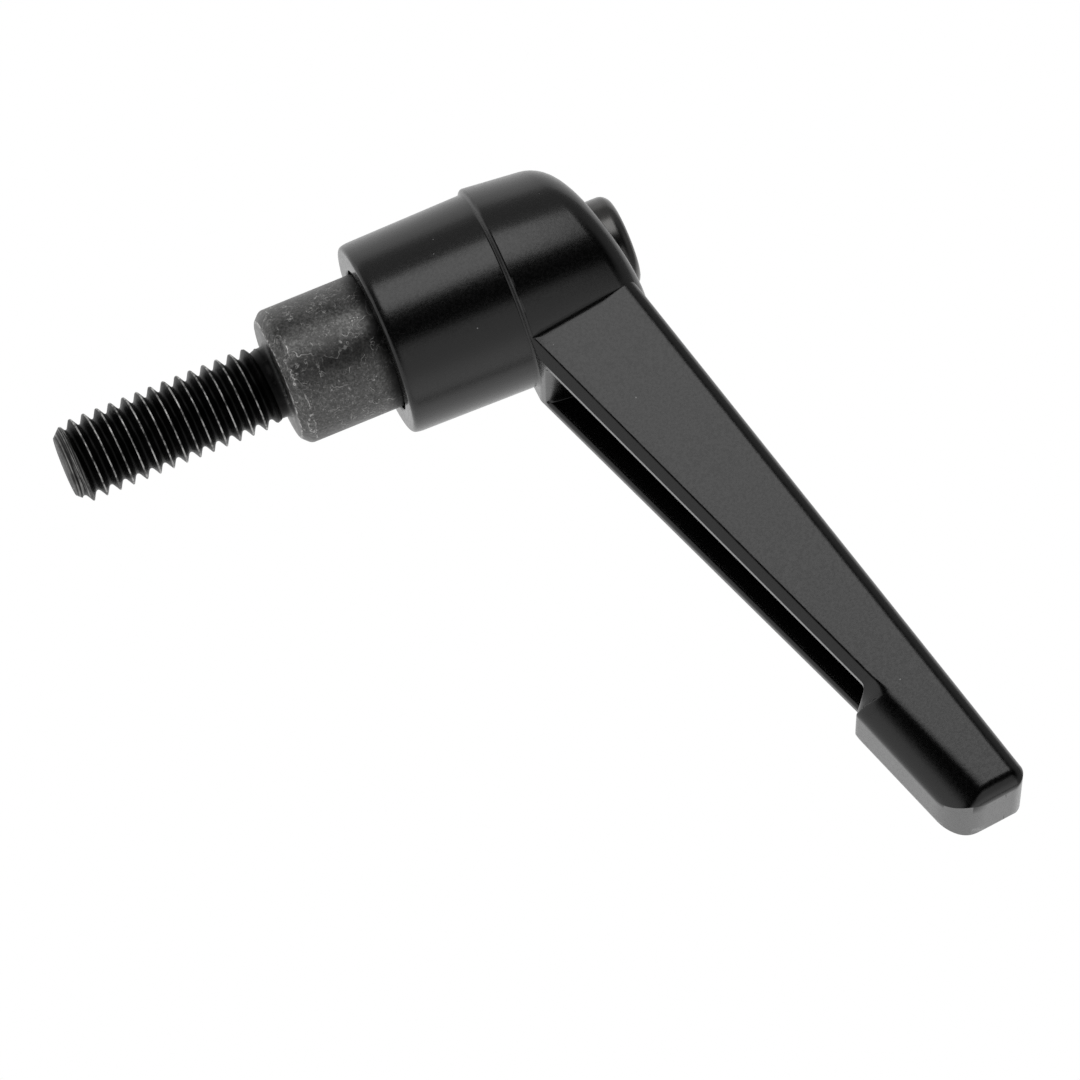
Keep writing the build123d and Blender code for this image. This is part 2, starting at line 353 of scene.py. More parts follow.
def wire_spring(steps=361, sides=14):
    """Coil of round wire: a circle carried along a helix that climbs less at its ends, so they lie flat."""
    u = np.linspace(0, 1, steps)
    speed = flat_slope + (1 - flat_slope) * smooth(np.minimum(u, 1 - u), 0, flat_turn / spring_turns)
    height = np.concatenate(((0.0,), np.cumsum((speed[1:] + speed[:-1]) / 2)))
    z = web_top + wire_r + (spigot_top - web_top - 2 * wire_r) * height / height[-1]
    turn = u * spring_turns * 2 * math.pi
    level = np.zeros_like(turn)
    out = np.stack((np.cos(turn), np.sin(turn), level), -1)
    line = out * coil_r + np.stack((level, level, z), -1)
    across = np.cross(unit(np.gradient(line, axis=0)), out)
    around = np.linspace(0, 2 * math.pi, sides, endpoint=False)[:, None]
    circle = out[:, None] * np.cos(around) + across[:, None] * np.sin(around)
    rows = line[:, None] + wire_r * circle
    ends = np.repeat(line[[0, -1], None], sides, axis=1)
    return skin("wire_spring", np.concatenate((ends[:1], rows, ends[1:])))


def hub_rows():
    """Rows of the hub, a closed ring in section: rim, wall, step, drafted wall, sloping top and bores.

    The section's corners are set at each angle round the axis: the top ones lie where the drafted wall and
    the pocket's wall meet the sloping plane, and the top's rounding grows from the arm's side to the far
    side.
    """
    angle = tooth_columns()
    along = np.cos(angle)
    edge_r = (upper_r + upper_draft * (step_z - hub_top_z)) / (1 + upper_draft * rise * along)
    far = ((1 - along) / 2) ** 1.5
    top_round = hub_top_round_arm + (hub_top_round_back - hub_top_round_arm) * far
    lever_tooth = toothed(angle, bore_r, tooth_root_r + lever_tooth_gap, -tooth_trim)

    def corner(r, z, radius):
        return np.stack(np.broadcast_arrays(r, z, radius, angle)[:3], -1)

    section = np.stack((  # radius, height and rounding of each corner
        corner(bore_r, rim_z, 0.16),
        corner(rim_r - rim_lead, rim_z, rim_round),
        corner(rim_r, rim_z + rim_lead_rise, 2.0),
        corner(lower_r, step_z - step_half, 0.22),
        corner(upper_r, step_z + step_half, 0.28),
        corner(edge_r, hub_top_z + edge_r * along * rise, top_round),
        corner(pocket_r, hub_top_z + pocket_r * along * rise, 0.2),
        corner(pocket_r, web_top, 0.1),
        corner(guide_r, web_top, 0.08),
        corner(guide_r, web_bottom, 0.08),
        corner(bore_r, web_bottom, 0.1),
        corner(bore_r, lever_tooth_top, 0),
        corner(lever_tooth, lever_tooth_top, 0),
        corner(lever_tooth, collar_top, 0),
        corner(bore_r, collar_top, 0),
    ), axis=1)
    outline = rounded(section[..., :2], section[..., 2], 10).transpose(1, 0, 2)
    closed = np.concatenate((outline, outline[:1]))
    return lathe(angle, closed[..., 0], closed[..., 1])


def half_width(x):
    """Half the arm's width over its panels."""
    return root_half - (x - root_x) * (root_half - tip_half) / (end_x - root_x)


def top_line(x):
    """Height of the arm's top."""
    return top_z + x * rise


def mouth_line(x):
    """Height of the line along the channel's mouth."""
    return mouth_z + x * mouth_rise


def pad_line(x):
    """Height of the pad's underside."""
    return mouth_line(pad_x) - pad_drop + (x - pad_x) * pad_rise


def end_line(z):
    """How far out the end face is at a height: it leans outwards going down."""
    return end_x + end_lean * (top_line(end_x) - z)


def underside(x):
    """Height of the arm's underside: level by the hub, then the mouth's line, the step down and the pad.

    The step is a straight ramp averaged over a short length, so that its two corners are eased.
    """
    mouth = np.maximum(mouth_line(x), step_z)
    offset = np.linspace(-1, 1, 15)
    weight = np.cos(offset * math.pi / 2) ** 2
    ramp = np.interp(x[..., None] + step_soft * offset, (step_x, pad_x), (0, 1))
    return mouth + (pad_line(x) - mouth) * (ramp * weight).sum(-1) / weight.sum()


def side_of_arm(x, z):
    """Half the arm's width at a point of its side view: the panel's, less what the roundings take there.

    Along the top and the end face that is a circle's fall over the distance to them, together a ball's at
    their corner. Below the ridge it is the mouth's bevel, which turns into a quarter of an ellipse along
    the pad.
    """
    from_top = (top_line(x) - z) * math.cos(math.atan(rise))
    from_end = (end_line(z) - x) * math.cos(math.atan(end_lean))
    near_top = np.clip(1 - from_top / edge_round, 0, 1)
    near_end = np.clip(1 - from_end / end_round, 0, 1)
    near = near_top**2 + near_end**2
    round_r = edge_round + (end_round - edge_round) * near_end**2 / np.maximum(near, TINY)
    fall = round_r * (1 - np.sqrt(1 - np.minimum(near, 1)))

    on_pad = smooth(x, step_x - pad_lead, pad_x)
    ridge = mouth_line(x) + ridge_height
    low = np.where(x > pad_x, pad_line(x), np.where(x < step_x - 1, mouth_line(x), underside(x)))
    under_ridge = (ridge - z) / (ridge - low)
    down = np.clip(under_ridge, 0, 1)
    eased = np.clip(under_ridge + ridge_soft, 0, 2 * ridge_soft) ** 2 / (4 * ridge_soft)
    straight = np.where(under_ridge > ridge_soft, down, eased)
    to_corner = np.clip((pad_x + pad_corner_end - x) / pad_corner, 0, 1)
    width = bevel_width + (pad_round_width - bevel_width) * on_pad
    width = width + pad_corner * on_pad * (1 - np.sqrt(1 - to_corner**2))
    curved = pad_curve * on_pad
    bevel = width * ((1 - curved) * straight + curved * (1 - np.sqrt(1 - down**2)))
    both = np.minimum(np.sqrt(fall**2 + bevel**2), fall + bevel)
    return half_width(x) - np.where(on_pad > 0, both, np.maximum(fall, bevel))


def side_path(corners, radii, count, steps=24):
    """Points spaced evenly along a line with rounded corners."""
    bent = rounded(np.array(corners), np.array(radii, float), steps)[steps - 1:1 - steps]
    length = np.concatenate(((0.0,), np.cumsum(np.linalg.norm(np.diff(bent, axis=0), axis=-1))))
    s = np.linspace(0, 1, count) * length[-1]
    return np.stack((np.interp(s, length, bent[:, 0]), np.interp(s, length, bent[:, 1])), -1)


def arm_lines(tip_rows=63):
    """The points of the arm's side view between which its rows stand, and which rows the channel opens.

    Rows stand closer together where the shape turns. Up to the pad's end a row stands upright between the
    top's line and the underside's. Past it the two lines turn the corners of the end face and meet on it.
    Gives the top points, the lower ones and the open rows.
    """
    to_channel = np.concatenate((np.linspace(arm_start, 4.9, 4), np.linspace(5.1, channel_start, 18)))
    along_channel = np.concatenate((
        (channel_start + 0.02,), np.linspace(channel_start + 0.1, 9.0, 14), np.linspace(9.6, 36.9, 34),
        channel_end - channel_corner + channel_corner * np.sin(np.linspace(0, math.pi / 2, 9))))
    to_tip = np.concatenate(((channel_end,), np.linspace(38.27, 39.6, 20), np.linspace(39.9, 46.2, 10)))
    upright = np.concatenate((to_channel, along_channel, to_tip))
    nose_x = end_line(pad_line(0)) / (1 + end_lean * pad_rise)
    nose = np.array((nose_x, pad_line(nose_x)))
    corner = np.array((end_x, top_line(end_x)))
    meet = nose + (corner - nose) * end_meet
    last = upright[-1]
    over = side_path(((last, top_line(last)), corner, meet), (0, corner_round, 0), tip_rows + 1)[1:]
    below = side_path(((last, pad_line(last)), nose, meet), (0, nose_round, 0), tip_rows + 1)[1:]
    top = np.concatenate((np.stack((upright, top_line(upright)), -1), over))
    under = np.concatenate((np.stack((upright, underside(upright)), -1), below))
    opened = np.repeat((False, True, False), (len(to_channel), len(along_channel), len(to_tip) + tip_rows))
    return top, under, opened[:, None]


def shares_down(top, under):
    """Shares of the way from the top to the underside, closest on the two roundings and at the ridge."""
    tall = np.maximum(np.linalg.norm(top - under, axis=-1)[:, None], 1e-6)
    over_ridge = top[:, 1:] - mouth_line(top[:, :1]) - ridge_height
    under_ridge = mouth_line(under[:, :1]) + ridge_height - under[:, 1:]
    to_ridge = over_ridge / np.maximum(over_ridge + under_ridge, 1e-6)
    to_ridge = np.clip(to_ridge, 0.35, 0.97)  # rows near the tip miss the ridge
    below = 1 - to_ridge
    to_round = np.minimum(edge_round * 1.03 / tall, 0.3)  # measured down from the sloping top
    bend = np.linspace(0, math.pi / 2, 10)
    panel = to_round + (to_ridge - ridge_soft * below - to_round) * np.linspace(0, 1, 8)[1:]
    at_ridge = to_ridge + below * ridge_soft * np.linspace(-1, 1, 9)[1:]
    lower = to_ridge + below * (ridge_soft + (1 - ridge_soft) * np.sin(bend)[1:])
    return np.concatenate((to_round * (1 - np.cos(bend)), panel, at_ridge, lower), axis=1)


def channel_section(x, depth, widest):
    """Half widths and heights over the mouth of the channel's section, from its mouth to its middle line.

    The mouth's rounding turns into the wall, and a quarter circle joins the wall to the roof. Near its end
    the channel narrows along a quarter circle seen from below.
    """
    past = np.clip(x - channel_end + channel_corner, 0, channel_corner)
    half = half_width(x) - bevel_width - channel_wall
    half = np.minimum(half - (channel_corner - np.sqrt(channel_corner**2 - past**2)), widest)
    roof_round = np.minimum(channel_roof_round, depth)
    bead = np.minimum(channel_bead, depth * 0.4)
    lip = np.linspace(0, math.pi / 2, 5)
    crown = np.linspace(0, math.pi / 2, 6)
    y = np.concatenate((
        half + bead * (1 - np.sin(lip)), half, half - roof_round * (1 - np.cos(crown)),
        (half - roof_round) * 0.5, half * 0), axis=1)
    lift = np.concatenate((
        bead * (1 - np.cos(lip)), depth * 0.5, depth - roof_round * (1 - np.sin(crown)),
        depth, depth), axis=1)
    return y, lift


def arm_rows():
    """Rows of the arm, each a closed loop across it, from inside the hub to the middle of the end face.

    Half a loop goes from the middle of the top outwards, down the side, whose half width is side_of_arm's,
    and up and over into the channel. The other half is its mirror image. The last row folds on to a level
    line.
    """
    top, under, opened = arm_lines()
    share = shares_down(top, under)
    x = top[:, :1] + (under[:, :1] - top[:, :1]) * share
    z = top[:, 1:] + (under[:, 1:] - top[:, 1:]) * share
    side = np.stack((x, side_of_arm(x, z), z), -1)
    flat = np.stack(np.broadcast_arrays(
        top[:, :1], side[:, :1, 1] * np.linspace(0, 1, 6)[:-1], top[:, 1:]), -1)
    low_x, low_z = under[:, :1], under[:, 1:]
    depth = np.where(opened, top_line(low_x) - channel_roof - low_z, 0)
    depth = depth * smooth(low_x, channel_start, channel_start + channel_rise)
    y, lift = channel_section(low_x, depth, side[:, -1:, 1] - channel_lip)
    inside = np.stack(np.broadcast_arrays(low_x, y, low_z + lift), -1)

    half = np.concatenate((flat, side, inside), axis=1)
    place = np.arange(half.shape[1])
    fold = np.minimum(place, place[::-1]) / (place[-1] // 2)
    half[-1, :, 1] = np.minimum(fold, 1) * (half_width(top[-1, 0]) - end_round)
    loop = np.concatenate((half, half[:, -2:0:-1] * (1, -1, 1)), axis=1)
    middle = loop[:1].mean(axis=1, keepdims=True) * (1, 0, 1)
    return np.concatenate((np.broadcast_to(middle, loop[:1].shape), loop))


def root_fillet(name, side):
    """Fillet between the hub's wall and one panel of the arm: closed loops across it that climb the corner.

    At each height its arc touches the wall's circle and the panel's line: the centre is one fillet radius
    off both, found in a few rounds. The loop closes inside the metal. The radius dies out at the top, where
    the arm's edge rounds over, and at the parting line.
    """
    z = np.linspace(fillet_bottom, fillet_top, 60)
    wall = upper_r + upper_draft * (step_z - z)
    radius = fillet_least + fillet_r * smooth(z, *fillet_fade) * smooth(z, *fillet_grow)
    taper = (root_half - tip_half) / (end_x - root_x)
    lean = math.hypot(1, taper)
    x = np.full_like(z, 5.8)  # a first guess
    for _ in range(8):
        y = half_width(x) + radius * lean
        x = np.sqrt((wall + radius) ** 2 - y**2)
    centre = np.stack((x, y), -1)
    first = unit(-centre)
    last = np.array((-taper, -1.0)) / lean
    between = np.arccos((first * last).sum(-1))[:, None, None]
    s = np.linspace(0, 1, 12)[:, None]
    toward = (np.sin((1 - s) * between) * first[:, None] + np.sin(s * between) * last) / np.sin(between)
    arc = centre[:, None] + radius[:, None, None] * toward
    hidden = (centre + unit(first + last) * (radius[:, None] + fillet_hidden))[:, None]
    loop = np.concatenate((arc, hidden), axis=1)
    rows = np.concatenate((loop, np.broadcast_to(z[:, None, None], (*loop.shape[:2], 1))), axis=-1)
    rows[..., 1] *= side
    caps = np.repeat(rows[[0, -1]].mean(axis=1, keepdims=True), rows.shape[1], axis=1)
    return skin(name, np.concatenate((caps[:1], rows, caps[1:])), 60)


# ------------------------------------------------------------------ finish
def put(tree, kind, sockets=None, **fields):
    """Adds one node: fields are its settings, and a socket takes a plain value or another node's output."""
    one = tree.nodes.new(kind)
    for field, value in fields.items():
        setattr(one, field, value)
    for socket, value in (sockets or {}).items():
        if isinstance(value, bpy.types.NodeSocket):
            tree.links.new(value, one.inputs[socket])
        else:
            one.inputs[socket].default_value = value
    return one


def ramp(tree, source, low, high, to_low=0.0, to_high=1.0, **fields):
    """A value between low and high moved evenly to between to_low and to_high, and held there."""
    sockets = {"Value": source, "From Min": low, "From Max": high, "To Min": to_low, "To Max": to_high}
    return put(tree, "ShaderNodeMapRange", sockets, **fields).outputs["Result"]


def spread(tree, source, low, high, to_low=0.0, to_high=1.0):
    """The same as ramp, but with no corner at either end."""
    return ramp(tree, source, low, high, to_low, to_high, interpolation_type="SMOOTHSTEP")


def sums(tree, operation, first, second):
    """Two values put together by a sum, product or the like."""
    return put(tree, "ShaderNodeMath", {0: first, 1: second}, operation=operation).outputs[0]


def apart(tree, first, second):
    """How far two values are apart."""
    off = sums(tree, "SUBTRACT", first, second)
    return put(tree, "ShaderNodeMath", {0: off}, operation="ABSOLUTE").outputs[0]


def distance(tree, x, y):
    """Distance of a point of a plane from the middle."""
    point = put(tree, "ShaderNodeCombineXYZ", {0: x, 1: y}).outputs[0]
    return put(tree, "ShaderNodeVectorMath", {0: point}, operation="LENGTH").outputs["Value"]


def noise(tree, scale, place, detail=2.0, rough=0.5):
    """Noise with scale lumps to the metre."""
    sockets = {"Vector": place, "Scale": scale, "Detail": detail, "Roughness": rough}
    return put(tree, "ShaderNodeTexNoise", sockets).outputs["Fac"]


def effect(name, inputs, output):
    """An empty node group with its sockets: inputs are names with their starting values."""
    tree = bpy.data.node_groups.new(name, "ShaderNodeTree")
    for socket, value in inputs.items():
        one = tree.interface.new_socket(name=socket, in_out="INPUT", socket_type="NodeSocketFloat")
        one.default_value = value
    tree.interface.new_socket(name=output, in_out="OUTPUT", socket_type="NodeSocketFloat")
    taken = tree.nodes.new("NodeGroupInput").outputs
    given = tree.nodes.new("NodeGroupOutput").inputs[0]
    place = put(tree, "ShaderNodeTexCoord").outputs["Object"]
    return tree, taken, given, place


def make_grain():
    """Fine lumps of a sprayed or tumbled surface: two noises, the finer one weaker."""
    tree, taken, given, place = effect("fine_grain", {"Lumps per metre": 5000.0}, "Height")
    coarse = noise(tree, taken[0], place, 1.0)
    finer = noise(tree, sums(tree, "MULTIPLY", taken[0], 2.3), place, 1.0)
    tree.links.new(sums(tree, "ADD", coarse, sums(tree, "MULTIPLY", finer, 0.5)), given)
    return tree


def make_specks():
    """Grains of dust: small discs round a few of the points of a scattered pattern."""
    sockets = {"Specks per metre": 900.0, "Size": 0.05, "Bare share": 0.7}
    tree, taken, given, place = effect("dust_specks", sockets, "Mask")
    cells = put(tree, "ShaderNodeTexVoronoi", {"Vector": place, "Scale": taken[0]})
    disc = sums(tree, "LESS_THAN", cells.outputs["Distance"], taken[1])
    luck = put(tree, "ShaderNodeSeparateColor", {0: cells.outputs["Color"]}).outputs[0]
    tree.links.new(sums(tree, "MULTIPLY", disc, sums(tree, "GREATER_THAN", luck, taken[2])), given)
    return tree


def make_scratches():
    """Short jagged strokes: thin lines where one noise passes its middle, kept in patches of another."""
    sockets = {"Strokes per metre": 500.0, "Width": 0.02, "Bare share": 0.5}
    tree, taken, given, place = effect("scratches", sockets, "Mask")
    thin = ramp(tree, apart(tree, noise(tree, taken[0], place, 3.0, 0.62), 0.5), 0.0, taken[1], 1.0, 0.0)
    patch = noise(tree, sums(tree, "MULTIPLY", taken[0], 1.3), place, 2.0)
    kept = ramp(tree, patch, taken[2], sums(tree, "ADD", taken[2], 0.08))
    tree.links.new(sums(tree, "MULTIPLY", thin, kept), given)
    return tree


def make_edge_wear():
    """Worn outward edges: the shape's own edge value, broken up by noise."""
    tree, taken, given, place = effect("edge_wear", {"Lumps per metre": 1500.0, "Start": 0.1}, "Mask")
    edge = put(tree, "ShaderNodeAttribute", attribute_name="edge").outputs["Fac"]
    broken = sums(tree, "MULTIPLY", edge, spread(tree, noise(tree, taken[0], place, 3.0, 0.6), 0.35, 0.65))
    tree.links.new(ramp(tree, broken, taken[1], sums(tree, "ADD", taken[1], 0.3)), given)
    return tree


def make_turned_lines():
    """Fine rings left by a lathe: noise that changes only with the distance from the axis and along it."""
    tree, taken, given, place = effect("turned_lines", {"Lines per metre": 9000.0}, "Height")
    axes = put(tree, "ShaderNodeSeparateXYZ", {0: place}).outputs
    line = put(tree, "ShaderNodeCombineXYZ", {0: distance(tree, axes[0], axes[1]), 2: axes[2]}).outputs[0]
    tree.links.new(noise(tree, taken[0], line, 2.0, 0.6), given)
    return tree


grain = make_grain()
specks = make_specks()
scratches = make_scratches()
edge_wear = make_edge_wear()
turned_lines = make_turned_lines()


def use(tree, group, **values):
    """Places an effect in a material, with values for its inputs in their order, and gives its output."""
    one = put(tree, "ShaderNodeGroup", node_tree=group)
    for socket, value in zip(one.inputs, values.values()):
        socket.default_value = value
    return one.outputs[0]


def finish_of(name, metal, rough):
    """A material with its shader, plain metal and roughness values, and the place that its patterns read."""
    material = bpy.data.materials.new(name)
    material.use_nodes = True
    tree = material.node_tree
    shader = tree.nodes["Principled BSDF"]
    shader.inputs["Metallic"].default_value = metal
    shader.inputs["Roughness"].default_value = rough
    return material, tree, shader, put(tree, "ShaderNodeTexCoord").outputs["Object"]


def blend(tree, share, first, second):
    """A colour between two, by a share that varies over the surface: each a link or three plain numbers."""
    first, second = [(*colour, 1) if isinstance(colour, tuple) else colour for colour in (first, second)]
    return put(tree, "ShaderNodeMix", {0: share, 6: first, 7: second}, data_type="RGBA").outputs[2]


def surface(tree, shader, colour, rough, height, depth):
    """Gives a shader its colour, its roughness and the relief of a height over depth metres."""
    tree.links.new(colour, shader.inputs["Base Color"])
    tree.links.new(rough, shader.inputs["Roughness"])
    relief = put(tree, "ShaderNodeBump", {"Distance": depth, "Strength": 1.0, "Height": height})
    tree.links.new(relief.outputs[0], shader.inputs["Normal"])


def satin_black_coat():
    """Baked black coat: deep black with a faint grain and a little dust, thinner and paler on edges."""
    material, tree, shader, place = finish_of("satin_black_coat", 0.0, 0.26)
    shade = blend(tree, noise(tree, 160.0, place, 3.0), (0.0004, 0.0004, 0.0004), (0.0009, 0.0009, 0.0010))
    worn = blend(tree, use(tree, edge_wear, lumps=900.0, start=0.35), shade, (0.02, 0.02, 0.02))
    dusty = blend(tree, use(tree, specks, number=700.0, size=0.035, bare=0.72), worn, (0.16, 0.16, 0.16))
    lumps = use(tree, grain, lumps=5200.0)
    surface(tree, shader, dusty, spread(tree, lumps, 0.45, 1.05, 0.215, 0.295), lumps, 3.0e-6)
    return material


def blackened_steel():
    """Black-oxided steel: mottled and scratched on the collar, black on the thread with crests painted bright
    as a highlight.

    Height along the axis picks the zone: the turned tip, the thread and its run-out, the collar. A painted
    highlight line wanders along the collar's chamfer, and painted shade darkens the collar up by the hub. The
    crests are where the distance from the axis passes the thread's flanks.
    """
    material, tree, shader, place = finish_of("blackened_steel", 1.0, 0.4)
    thread_to_tip = (-0.01495, -0.01525)  # heights over which one zone turns into the next
    thread_to_collar = (-0.0003, 0.0001)
    chamfer_highlight_heights = (0.00087, 0.00103)
    painted_shade_by_hub = (0.0061, 0.0073)
    flank_to_crest = (0.00290, 0.002945)  # distances from the axis
    bare = (0.42, 0.417, 0.41)
    rubbed_bare_and_highlight = (0.5, 0.496, 0.488)
    polished = (0.62, 0.615, 0.605)
    axes = put(tree, "ShaderNodeSeparateXYZ", {0: place}).outputs
    height = axes[2]
    radius = distance(tree, axes[0], axes[1])
    mottle = noise(tree, 420.0, place, 5.0, 0.62)

    cloud = spread(tree, mottle, 0.34, 0.68)
    base = blend(tree, cloud, (0.054, 0.054, 0.053), (0.090, 0.089, 0.088))
    speckle = spread(tree, noise(tree, 5200.0, place, 3.0, 0.7), 0.36, 0.7)
    collar = blend(tree, speckle, base, (0.132, 0.131, 0.129))
    fine_strokes = use(tree, scratches, strokes=3200.0, width=0.03, bare=0.49)
    rubbed = sums(tree, "MULTIPLY", fine_strokes, sums(tree, "MULTIPLY", cloud, 0.65))
    collar = blend(tree, rubbed, collar, bare)
    strokes = use(tree, scratches, strokes=900.0, width=0.014, bare=0.52)
    collar = blend(tree, sums(tree, "MULTIPLY", strokes, 0.75), collar, rubbed_bare_and_highlight)
    long_strokes = use(tree, scratches, strokes=420.0, width=0.009, bare=0.54)
    collar = blend(tree, sums(tree, "MULTIPLY", long_strokes, 0.8), collar, polished)
    collar = blend(tree, use(tree, edge_wear, lumps=3200.0, start=0.12), collar, rubbed_bare_and_highlight)
    # painted highlight: a bright line that wanders along the top of the collar's chamfer rounding, broken
    # into patches by noise
    wander = spread(tree, noise(tree, 1500.0, place, 4.0), 0.3, 0.7, *chamfer_highlight_heights)
    line = spread(tree, apart(tree, height, wander), 0.00001, 0.00005, 0.8, 0.0)
    highlight_patches = spread(tree, noise(tree, 1300.0, place, 4.0, 0.7), 0.46, 0.62)
    collar = blend(tree, sums(tree, "MULTIPLY", line, highlight_patches), collar, rubbed_bare_and_highlight)
    # painted shade: the collar is painted darker up by the hub's mouth
    collar = blend(tree, spread(tree, height, *painted_shade_by_hub, 0.0, 0.85), collar, (0.012, 0.012, 0.012))

    dark = blend(tree, spread(tree, mottle, 0.3, 0.7), (0.006, 0.006, 0.006), (0.014, 0.014, 0.014))
    broken = spread(tree, noise(tree, 1800.0, place, 3.0, 0.65), 0.36, 0.62, 0.15, 1.0)
    # painted highlight: the thread's crests are painted bright as bare steel, broken up by noise
    crest_highlight = sums(tree, "MULTIPLY", spread(tree, radius, *flank_to_crest), broken)
    thread = blend(tree, crest_highlight, dark, bare)

    rings = spread(tree, use(tree, turned_lines, lines=7500.0), 0.47, 0.66)
    patches = spread(tree, noise(tree, 1100.0, place, 3.0), 0.35, 0.65, 0.35, 1.0)
    tip = blend(tree, sums(tree, "MULTIPLY", rings, patches), (0.025, 0.025, 0.025), (0.36, 0.357, 0.35))

    stud = blend(tree, spread(tree, height, *thread_to_tip), thread, tip)
    whole = blend(tree, spread(tree, height, *thread_to_collar), stud, collar)
    relief = sums(tree, "ADD", use(tree, grain, lumps=3600.0), sums(tree, "MULTIPLY", strokes, 1.5))
    surface(tree, shader, whole, spread(tree, mottle, 0.3, 0.7, 0.36, 0.5), relief, 6.5e-6)
    return material


def oiled_screw_steel():
    """Black-oxided screw: near black, with the lathe's fine rings and paler edges."""
    material, tree, shader, place = finish_of("oiled_screw_steel", 1.0, 0.3)
    shade = blend(tree, noise(tree, 700.0, place, 4.0), (0.05, 0.05, 0.05), (0.11, 0.108, 0.105))
    worn = blend(tree, use(tree, edge_wear, lumps=1800.0, start=0.3), shade, (0.3, 0.295, 0.285))
    rings = use(tree, turned_lines, lines=5200.0)
    surface(tree, shader, worn, spread(tree, rings, 0.3, 0.7, 0.22, 0.34), rings, 1.6e-6)
    return material


def drawn_wire():
    """Bright spring wire, a little uneven, with specks of oil."""
    material, tree, shader, place = finish_of("drawn_wire", 1.0, 0.3)
    shade = blend(tree, noise(tree, 900.0, place, 3.0), (0.26, 0.25, 0.24), (0.46, 0.45, 0.43))
    oily = blend(tree, use(tree, specks, number=1500.0, size=0.12, bare=0.8), shade, (0.08, 0.07, 0.06))
    lumps = use(tree, grain, lumps=4200.0)
    surface(tree, shader, oily, spread(tree, lumps, 0.45, 1.05, 0.22, 0.36), lumps, 1.5e-6)
    return material


coat = satin_black_coat()
steel = blackened_steel()
screw_steel = oiled_screw_steel()
wire = drawn_wire()

# ------------------------------------------------------------------ pieces
insert = threaded_insert()
screw = cap_screw()
spring = wire_spring()
hub = skin("lever_hub", hub_rows())
arm = skin("lever_arm", arm_rows())
near_fillet = root_fillet("near_root_fillet", -1)
far_fillet = root_fillet("far_root_fillet", 1)
for piece, body, node, slot, finish in (
    (insert, "insert", "serrated_insert", "insert_steel", steel),
    (screw, "insert", "retaining_screw", "screw_steel", screw_steel),
    (spring, "spring", "return_spring", "spring_steel", wire),
    (hub, "lever", "lever_handle", "coated_zinc", coat),
    (arm, "lever", "lever_handle", "coated_zinc", coat),
    (near_fillet, "lever", "lever_handle", "coated_zinc", coat),
    (far_fillet, "lever", "lever_handle", "coated_zinc", coat),
):
    piece.data.materials.append(finish)
    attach(piece, body)
    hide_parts(node)
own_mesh(spring)

# ------------------------------------------------------------------ camera
camera_place = (0.214229, -0.603618, -0.063460)
camera_right = Vector((0.395011, 0.013368, 0.918579))
camera_up = -Vector((0.865915, 0.328560, -0.377146))

camera_data = bpy.data.cameras.new("product_camera")
camera_data.lens = 308.21
camera_data.sensor_width = 36.0
camera_data.clip_start = 0.01
camera_data.clip_end = 20.0
camera = bpy.data.objects.new("product_camera", camera_data)
turn = Matrix((camera_right, camera_up, camera_right.cross(camera_up))).transposed().to_4x4()
camera.matrix_world = Matrix.Translation(camera_place) @ turn
scene.collection.objects.link(camera)
scene.camera = camera

# ------------------------------------------------------------------ light
WHITE = (1, 1, 1, 1)
scene.view_settings.view_transform = "Standard"


def shown(tree):
    """1 for rays that see white behind the part: the camera's, mirror-like ones and those through glass."""
    rays = put(tree, "ShaderNodeLightPath").outputs
    seen = sums(tree, "MAXIMUM", rays["Is Camera Ray"], rays["Is Glossy Ray"])
    return sums(tree, "MAXIMUM", seen, rays["Is Transmission Ray"])


def white_studio():
    """World that shows as white and lights the part half as brightly."""
    world = bpy.data.worlds.new("white_studio")
    scene.world = world
    world.use_nodes = True
    tree = world.node_tree
    tree.nodes.clear()
    seen = put(tree, "ShaderNodeBackground", {"Color": WHITE, "Strength": 1.0})
    lit = put(tree, "ShaderNodeBackground", {"Color": WHITE, "Strength": 0.5})
    whole = put(tree, "ShaderNodeMixShader", {0: shown(tree), 1: lit.outputs[0], 2: seen.outputs[0]})
    put(tree, "ShaderNodeOutputWorld", {"Surface": whole.outputs[0]})


def lamp(name, place, size, radiance, aim=(0.02, 0, 0.012)):
    """A soft rectangular lamp that shines the same from every point of its face."""
    data = bpy.data.lights.new(name, "AREA")
    data.shape = "RECTANGLE"
    data.size, data.size_y = size
    data.energy = radiance * math.pi * size[0] * size[1]
    holder = bpy.data.objects.new(name, data)
    scene.collection.objects.link(holder)
    holder.location = place
    holder.rotation_euler = (Vector(aim) - Vector(place)).to_track_quat("-Z", "Y").to_euler()
    holder.visible_camera = False


def stage_material(name):
    """An empty material for a stage piece, with its tree."""
    material = bpy.data.materials.new(name)
    material.use_nodes = True
    material.node_tree.nodes.clear()
    return material, material.node_tree


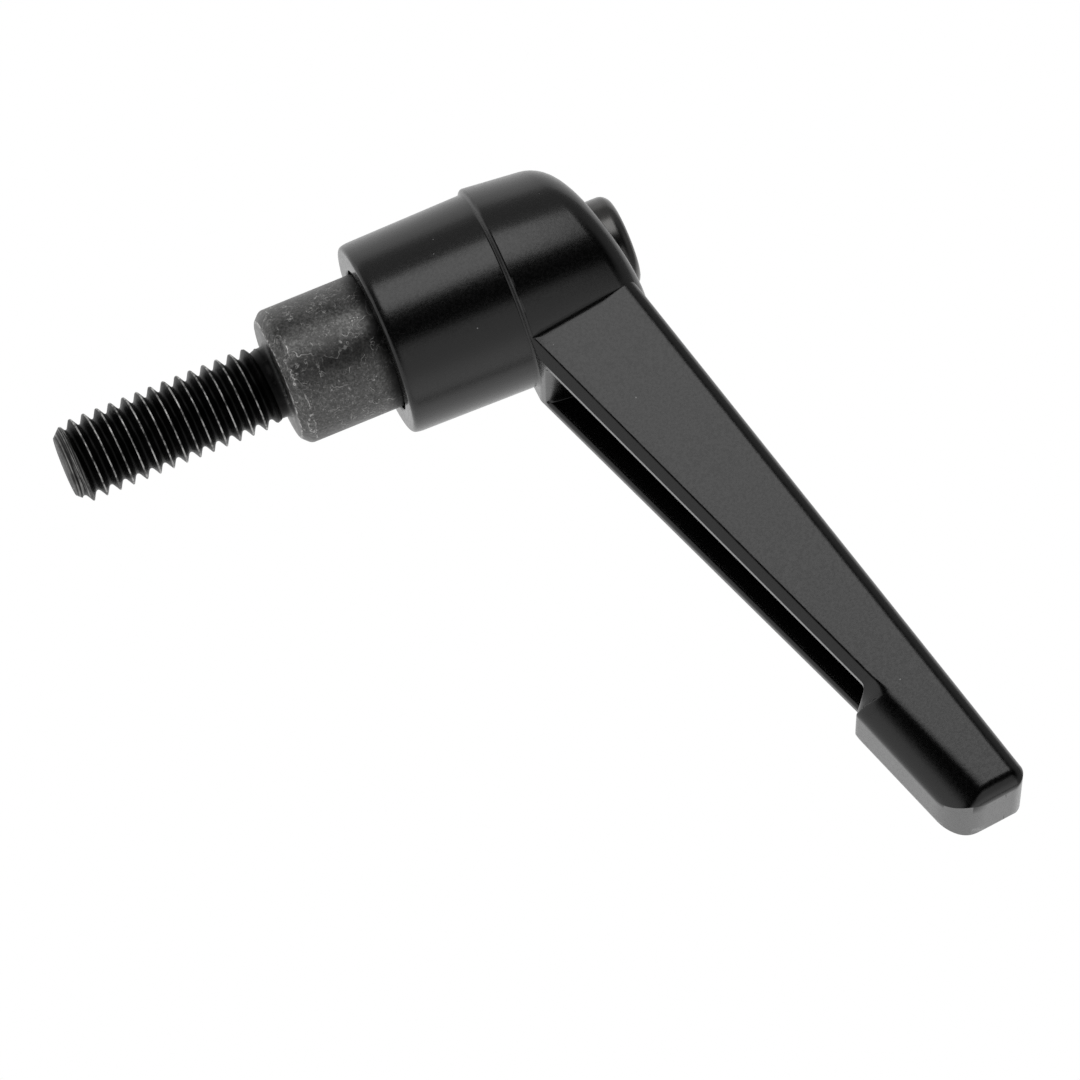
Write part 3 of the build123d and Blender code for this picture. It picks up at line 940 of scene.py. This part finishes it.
def dark_card(radius=1.4, half_angle=97.0, axis=(0.300, -0.923, 0.240), black_toward=(0.307, -0.944, -0.118)):
    """A bowl behind the camera that only mirror-like rays see: black near it and grey further off.

    Points at one distance from the part: rings at growing angles off the bowl's axis. Its grey falls with
    the point's distance along black_toward.
    """
    axis = np.array(axis)
    axis /= np.linalg.norm(axis)
    one = np.cross(axis, (0, 0, 1.0))
    one /= np.linalg.norm(one)
    two = np.cross(axis, one)
    off = np.radians(np.linspace(0, half_angle, 24))[:, None, None]
    turn = np.linspace(0, 2 * math.pi, 64, endpoint=False)[None, :, None]
    rows = radius * METRE * (axis * np.cos(off) + np.sin(off) * (one * np.cos(turn) + two * np.sin(turn)))
    card = skin("dark_card", rows)
    card.visible_camera = False
    card.visible_diffuse = False
    card.visible_shadow = False
    card.visible_transmission = False
    material, tree = stage_material("black_cloth")
    place = put(tree, "ShaderNodeTexCoord").outputs["Object"]
    along = put(tree, "ShaderNodeVectorMath", {0: place, 1: black_toward}, operation="DOT_PRODUCT")
    grey = spread(tree, along.outputs["Value"], 0.26 * radius, 0.66 * radius, 0.36, 0.0)
    glow = put(tree, "ShaderNodeEmission", {"Color": WHITE, "Strength": grey})
    put(tree, "ShaderNodeOutputMaterial", {"Surface": glow.outputs[0]})
    card.data.materials.append(material)


def pale_floor(height=-0.0163, reach=0.09, middle=0.025, fade=(0.027, 0.048)):
    """A pale floor under the stud's end that fades into the white round it and isn't seen from below.

    It is solid near a line under the part, twice middle long, and fades with the distance from that line.
    """
    mesh = bpy.data.meshes.new("pale_floor")
    corners = [(middle + x * reach, y * reach, height) for x, y in ((-1, -1), (1, -1), (1, 1), (-1, 1))]
    mesh.from_pydata(corners, [], [(0, 1, 2, 3)])
    floor = bpy.data.objects.new("pale_floor", mesh)
    scene.collection.objects.link(floor)
    material, tree = stage_material("pale_floor")
    place = put(tree, "ShaderNodeTexCoord").outputs["Object"]
    axes = put(tree, "ShaderNodeSeparateXYZ", {0: place}).outputs
    past = sums(tree, "MAXIMUM", sums(tree, "SUBTRACT", apart(tree, axes[0], middle), middle), 0.0)
    faded = spread(tree, distance(tree, past, axes[1]), *fade)
    below = put(tree, "ShaderNodeNewGeometry").outputs["Backfacing"]
    paint = put(tree, "ShaderNodeBsdfDiffuse", {"Color": (0.9, 0.9, 0.9, 1)})
    strength = sums(tree, "MULTIPLY", shown(tree), 0.45)
    glow = put(tree, "ShaderNodeEmission", {"Color": WHITE, "Strength": strength})
    lit = put(tree, "ShaderNodeAddShader", {0: paint.outputs[0], 1: glow.outputs[0]})
    clear = put(tree, "ShaderNodeBsdfTransparent")
    unseen = sums(tree, "MAXIMUM", faded, below)
    whole = put(tree, "ShaderNodeMixShader", {0: unseen, 1: lit.outputs[0], 2: clear.outputs[0]})
    put(tree, "ShaderNodeOutputMaterial", {"Surface": whole.outputs[0]})
    mesh.materials.append(material)


white_studio()
lamp("soft_key", (-0.245, -0.595, 0.105), (0.42, 0.38), 2.5)
lamp("side_fill", (0.83, -0.26, 0.10), (1.28, 0.7), 0.75)
dark_card()
pale_floor()
